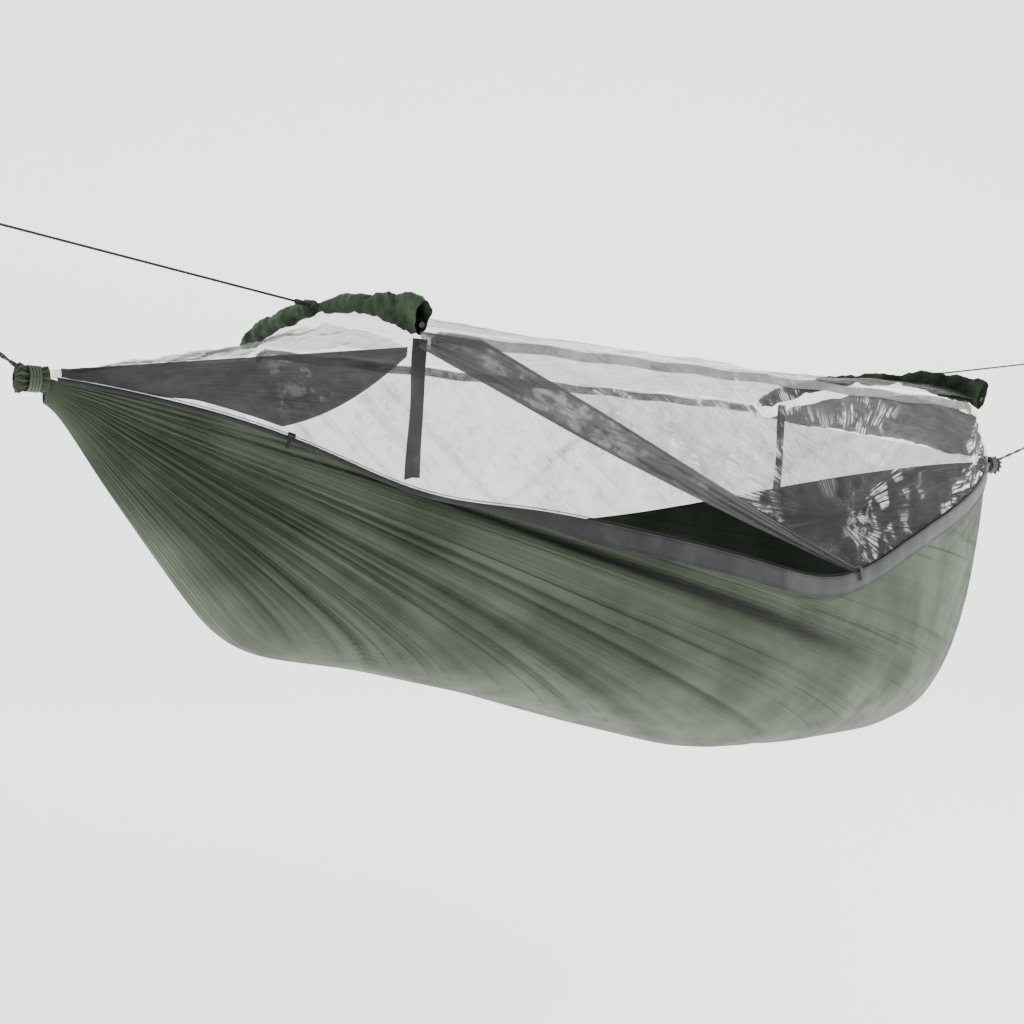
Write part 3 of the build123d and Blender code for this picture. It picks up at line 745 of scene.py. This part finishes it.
def make_end(end, side, material):
    """The sloping net from a gather up to its pole."""
    x = side * np.linspace(1.07, NET_POLE_X, 90)[:, None]
    y, z = net_top(x)
    share = np.linspace(-1, 1, 48)[None, :]
    rise = 0.05 * np.clip((NET_END_X - np.abs(x)) / 0.42, 0, 1) ** 2
    points = row(x, share * (y - 0.002), z + rise * (1 - share**2))
    points = wavy(points, 0.01, 11, 12 + side)
    name = f"net_{end}_end_cloth"
    ray = 2 * np.degrees(np.arctan2(points[..., 1], HALF_LENGTH - np.abs(x)))
    piece = made(name, cloth_mesh(name, points, 0.0, ray), material,
                 replaces=(f"net_{end}_end_panel", f"net_{end}_arch_panel"))


make_end("head", -1, net_roof)
make_end("foot", 1, net_gathered)


def make_lifted_edge():
    """The dark band of gathered net along the lifted edge: many thin folds that run along it."""
    x = np.linspace(-0.66, DOOR_FOOT_X + 0.02, 240)
    low_y, low_z = door_line(x)
    top_y, top_z = near_top(np.maximum(x, -SEAM_X))
    room = top_z - low_z
    wide = 0.058 * smooth_step(DOOR_FOOT_X + 0.05, -0.5, x) ** 0.6 + 0.008
    share = np.linspace(0, 1, 40)[None, :]
    rise = np.minimum(wide / np.maximum(room, 0.02), 0.95)[:, None] * share
    ripple = np.sin(share * 2 * pi * 3.5 + 2.2 * np.sin(x[:, None] * 7)) * np.sin(x[:, None] * 11 + share * 5)
    folds = 0.002 * ripple + 0.003 * np.sin(share * pi)
    y = mix(low_y[:, None], top_y[:, None], rise) - 0.004 - folds
    z = mix(low_z[:, None], top_z[:, None], rise) - 0.004
    points = row(x[:, None], y, z)
    edges = np.exp(-(((share - 0.02) / 0.05) ** 2)) + 0.8 * np.exp(-(((share - 0.97) / 0.05) ** 2))
    depth = 0.08 * ripple + 0.4 * edges - 0.1 * np.exp(-(((share - 0.6) / 0.12) ** 2))
    mesh = cloth_mesh("net_lifted_band", points, depth, 30 * share + 3 * x[:, None])
    piece = made("net_lifted_band", mesh, net_band, replaces=("net_lifted_edge",))


make_lifted_edge()


def make_seam(name, top, low, side, node):
    """The tape along one side of the roof."""
    x = np.linspace(-0.64, 0.64, 160)
    (top_y, top_z), (low_y, low_z) = top(x), low(x)
    share = np.linspace(0.003, 0.019, 5)[None, :] / np.maximum(top_z - low_z, 0.03)[:, None]
    y = mix(top_y[:, None], low_y[:, None], share) + side * 0.0024
    points = row(x[:, None], y, mix(top_z[:, None], low_z[:, None], share))
    points[..., 2] += 0.0015 * np.sin(x * 40)[:, None]
    mesh = closed_ribbon(name, points, np.array([0, side, 0.0]), 0.0008)
    made(name, mesh, net_seam, replaces=(node,))


make_seam("near_seam_cloth", near_top, door_line, -1, "net_near_seam_tape")
make_seam("far_seam_cloth", net_top, far_low, 1, "net_far_seam_tape")


# Sleeves, gathers and straps


def make_sleeve(end, x, seed):
    """A loose sleeve round the bowed pole: puffed towards its near end, pinched in places and crumpled."""
    rng = np.random.default_rng(seed)
    angle = np.linspace(-BOW_ANGLE * 1.03, BOW_ANGLE * 1.0, 150)
    turn = np.linspace(-pi / 2, 1.5 * pi, 56)
    near_share = (angle / BOW_ANGLE + 1) / 2
    places = ((0.22, 0.3), (0.47, 0.4), (0.66, 0.25))
    pinches = sum(deep * np.exp(-(((near_share - place) / 0.022) ** 2)) for place, deep in places)
    height = 0.012 + 0.014 * smooth_step(0.62, 0.93, near_share) + 0.005 * smooth_step(0.4, 0.2, near_share)
    height *= (1 - pinches) * smooth_step(-0.03, 0.06, near_share) ** 0.5
    lift = 0.008 * smooth_step(0.55, 0.9, near_share)
    width = 0.012 * (1 - 0.35 * pinches) * smooth_step(-0.03, 0.05, near_share) ** 0.5
    radius = BOW_RADIUS + lift[:, None] + height[:, None] * np.sin(turn)
    across = -radius * np.sin(angle)[:, None]
    up = BOW_CENTRE_Z + radius * np.cos(angle)[:, None]
    points = row(x + width[:, None] * np.cos(turn), across, up)
    flat = points.reshape(-1, 3)
    shift = Vector(rng.uniform(0, 9, 3))
    crumple = np.array([noise.fractal(Vector(p) * 17 + shift, 0.6, 2.1, 5) for p in flat])
    crumple = crumple.reshape(points.shape[:2])
    outward = np.stack([np.cos(turn), np.zeros_like(turn), np.sin(turn)], -1)
    points = points + outward * (0.0062 * crumple)[..., None]
    name = f"{end}_sleeve_cloth"
    # Painted shade: fold darkens the hollows of the crumples, and ray carries painted crease lines across them.
    fold = np.clip(-crumple * 1.6, 0, 1) * 0.8
    u, v = cloth_sizes(points)
    mesh = grid_mesh(name, points, cloth_u=u, cloth_v=v, fold=fold, ray=8 * crumple)
    piece = made(name, mesh, sleeve_cloth, replaces=(f"{end}_pole_sleeve",))


make_sleeve("head", -POLE_X, 31)
make_sleeve("foot", POLE_X, 37)


def make_gather(end, side):
    """The bed's end rolled into a fluted bundle, with the tail of cloth past its whipping spread open."""
    start, stop = HALF_LENGTH - 0.016, HALF_LENGTH + 0.031
    x = np.linspace(start, stop, 60)[:, None]
    turn = np.linspace(0, 2 * pi, 200, endpoint=False)[None, :]
    t = (x - start) / (stop - start)
    radius = 0.0165 + 0.0045 * np.abs(np.cos(pi * t)) ** 2 - 0.006 * np.exp(-(((t - 0.42) / 0.3) ** 2))
    flutes = 0.0022 * np.sin(11 * turn + 3 * t) + 0.0012 * np.sin(23 * turn + 1.3 - 2 * t)
    radius = (radius + flutes * (0.4 + t)) * smooth_step(1.02, 0.86, t) ** 0.5
    points = row(side * x, radius * np.cos(turn), radius * np.sin(turn))
    # Painted shade: fold darkens the valleys between the flutes, and ray carries painted crease lines along
    # them.
    fold = np.clip(-flutes / 0.003, 0, 1) * 0.7
    u, v = cloth_sizes(points)
    name = f"{end}_gather_cloth"
    ray = np.broadcast_to(11 * turn, fold.shape)
    mesh = grid_mesh(name, points, closed=True, cloth_u=u, cloth_v=v, fold=fold, ray=ray)
    made(name, mesh, outer_cloth, replaces=(f"{end}_gather",))


def make_whipping(end):
    """The cord that is wound round a gather."""
    low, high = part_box(f"{end}_whipping")
    middle, reach = (low.x + high.x) / 2, (high.x - low.x) / 2 - 0.002
    coil = np.linspace(-1, 1, 260)
    spin = coil * 4.5 * pi
    y, z = WHIPPING_RADIUS * np.cos(spin), WHIPPING_RADIUS * np.sin(spin) - HEAD_RING_Z
    rings = tube_points(np.stack([middle + reach * coil, y, z], -1), WHIPPING_CORD_RADIUS, 10)
    u, v = cloth_sizes(rings)
    name = f"{end}_whipping_cord"
    mesh = grid_mesh(name, rings, closed=True, cloth_u=u, cloth_v=v)
    made(name, mesh, whipping_cord, replaces=(f"{end}_whipping",))


for end, side in (("head", -1), ("foot", 1)):
    make_gather(end, side)
    make_whipping(end)


def make_webbing(piece, points, body, node):
    """A piece of strap from a grid of points across its face."""
    mesh = closed_ribbon(piece, points, np.array([0, 1.0, 0]), STRAP_THICKNESS)
    made(piece, mesh, strap_cloth, body, (node,))


def make_strap(name):
    """Webbing that hangs from the sleeve, slightly twisted, with its end folded and sewn."""
    low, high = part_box(name)
    fold_low, fold_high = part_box(name + "_fold")
    middle = (low + high) / 2
    across = np.linspace(-0.5, 0.5, 9)[None, :] * (high.x - low.x)
    z = np.linspace(high.z, low.z, 60)[:, None]
    t = (high.z - z) / (high.z - low.z)
    twist = 0.35 * np.sin(pi * t) ** 2
    sway = 0.0012 * np.sin(3 * pi * t)
    x = middle.x + across * np.cos(twist)
    y = middle.y + STRAP_THICKNESS / 2 + across * np.sin(twist) * 0.25 + sway
    make_webbing(name + "_webbing", np.stack([x, y, z + 0 * across], -1), name, name)
    z = np.linspace(fold_high.z, fold_low.z, 12)[:, None]
    y = (fold_low.y + fold_high.y) / 2 + STRAP_THICKNESS / 2
    lean = 0.008 * np.linspace(-0.5, 0.5, 9)
    points = np.stack(np.broadcast_arrays(middle.x + across, y, z + lean), -1)
    make_webbing(name + "_sewn_end", points, name, name + "_fold")


make_strap("near_strap")
make_strap("far_strap")


# Cords


def nurbs_curve(name, points):
    """A smooth curve with the route's points as its control points."""
    curve = bpy.data.curves.new(name, "CURVE")
    curve.dimensions = "3D"
    spline = curve.splines.new("NURBS")
    spline.points.add(len(points) - 1)
    for place, point in zip(points, spline.points):
        point.co = (*place, 1)
    spline.order_u = 3
    spline.use_endpoint_u = True
    return curve


def nurbs_cord(name, points, diameter, body, node):
    """A single taut cord on its route's smooth curve."""
    curve = nurbs_curve(name, points)
    curve.bevel_depth = diameter / 2
    curve.bevel_resolution = 4
    curve.use_fill_caps = True
    curve.materials.append(black_cord)
    cord = bpy.data.objects.new(name, curve)
    bpy.context.scene.collection.objects.link(cord)
    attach(cord, body)
    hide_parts(node)
    return cord


def spline_points(name, points):
    """The points that the route's own spline goes through."""
    curve = nurbs_curve(name, points)
    curve.splines[0].resolution_u = 80
    holder = bpy.data.objects.new(name, curve)
    mesh = bpy.data.meshes.new_from_object(holder)
    line = np.array([vertex.co[:] for vertex in mesh.vertices])
    bpy.data.objects.remove(holder)
    bpy.data.curves.remove(curve)
    bpy.data.meshes.remove(mesh)
    return line


def taut(start, end):
    """A taut line's route: its ends and its middle."""
    return [start, tuple(mix(np.array(start), np.array(end), 0.5)), end]


MAIN_ROUTES = {
    "head": ((0.150, 0, -0.090), (0.048, 0, -0.0288)),
    "foot": ((2.390, 0, -0.090), (2.5571, 0, -0.0323)),
}
RIDGE_ROUTES = {
    "head": ((0.5557, 0, 0.0726), (0.0168, 0, 0.1319)),
    "foot": ((1.9841, 0, 0.0743), (2.5535, 0, 0.1680)),
}
MAIN_DIAMETER, RIDGE_DIAMETER = 0.007, 0.004


def strands(name, start, end, diameter, twists):
    """A doubled cord: two strands laid round each other."""
    line = spline_points(name, taut(start, end))
    t = np.linspace(0, 1, len(line))
    along = np.subtract(end, start) / np.linalg.norm(np.subtract(end, start))
    side = np.array([0, 1.0, 0])
    up = np.cross(along, side)
    meshes = []
    for half in (0, pi):
        turn = (2 * pi * twists * t + half)[:, None]
        path = line + diameter / 4 * (np.cos(turn) * side + np.sin(turn) * up)
        meshes.append(tube_points(path, diameter / 4 * 1.04, 12))
    return line, meshes


for end, (start, stop) in MAIN_ROUTES.items():
    name = f"{end}_main_rope"
    line, tubes = strands(name, start, stop, MAIN_DIAMETER, 2.5)
    parts = []
    for i, rings in enumerate(tubes):
        u, v = cloth_sizes(rings)
        mesh = grid_mesh(name, rings, closed=True, cloth_u=u, cloth_v=v)
        parts.append(made(f"{name}_{i}", mesh, black_cord))
    rope = join(parts)
    rope.name = name
    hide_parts(f"{end}_main_cord")

for end, (start, stop) in RIDGE_ROUTES.items():
    name = f"{end}_ridge_line_cord"
    cord = nurbs_cord(name, taut(start, stop), RIDGE_DIAMETER, f"{end}_ridge_line", f"{end}_ridge_cord")


# The stage


def make_stage():
    """A pale floor that curves up into a pale backdrop."""
    turn = np.linspace(0.1, pi / 2, 14)
    depth = np.concatenate([np.linspace(-6, 3.0, 8), 3.0 + 2.5 * np.sin(turn), [5.5]])
    height = np.concatenate([np.zeros(8), 2.5 * (1 - np.cos(turn)), [9.0]]) + FLOOR_Z
    heading = radians(-35.54)
    width = np.linspace(-9, 9, 6)[:, None]
    x = 1.2 + width * cos(heading) - depth * sin(heading)
    y = 0.2 + width * sin(heading) + depth * cos(heading)
    points = np.stack([x, y, height + 0 * width], -1)
    floor = bpy.data.objects.new("studio_floor", grid_mesh("studio_floor", points))
    bpy.context.scene.collection.objects.link(floor)
    pale = bpy.data.materials.new("studio_pale")
    pale.use_nodes = True
    sockets = pale.node_tree.nodes["Principled BSDF"].inputs
    sockets["Base Color"].default_value = (0.92, 0.92, 0.92, 1)
    sockets["Roughness"].default_value = 0.9
    sockets["Emission Color"].default_value = (1, 1, 1, 1)
    sockets["Emission Strength"].default_value = 1.6
    floor.data.materials.append(pale)


def area_light(name, place, aim, size, power):
    """A square soft light."""
    light = bpy.data.lights.new(name, "AREA")
    light.size = size
    light.energy = power
    lamp = bpy.data.objects.new(name, light)
    lamp.location = place
    lamp.rotation_euler = (Vector(aim) - Vector(place)).to_track_quat("-Z", "Y").to_euler()
    bpy.context.scene.collection.objects.link(lamp)


def make_studio():
    """Soft white surroundings, a key light from the foot end and a weak fill from the head end."""
    world = bpy.data.worlds.new("studio")
    world.use_nodes = True
    sockets = world.node_tree.nodes["Background"].inputs
    sockets["Color"].default_value = (1.0, 1.0, 1.0, 1)
    sockets["Strength"].default_value = 0.4
    bpy.context.scene.world = world
    area_light("key_light", (3.9, -2.0, 1.5), (1.6, 0, -0.3), 1.4, 125)
    area_light("fill_light", (-0.6, -2.4, 2.2), (1.0, 0, -0.2), 2.0, 20)


def make_camera():
    """The camera at the photograph's viewing angle, from its lens, its place and its three axes."""
    camera = bpy.data.cameras.new("photo_camera")
    camera.lens = 48.85
    camera.sensor_width = 36
    eye = bpy.data.objects.new("photo_camera", camera)
    eye.location = (-0.4497, -2.0411, -0.1976)
    right = (0.81302, -0.57927, 0.05888)
    up = (-0.03535, 0.05182, 0.99803)
    back = (-0.58119, -0.81351, 0.02165)
    eye.rotation_euler = Matrix(np.transpose([right, up, back]).tolist()).to_euler()
    bpy.context.scene.collection.objects.link(eye)
    bpy.context.scene.camera = eye


make_stage()
make_studio()
make_camera()

bpy.context.view_layer.update()
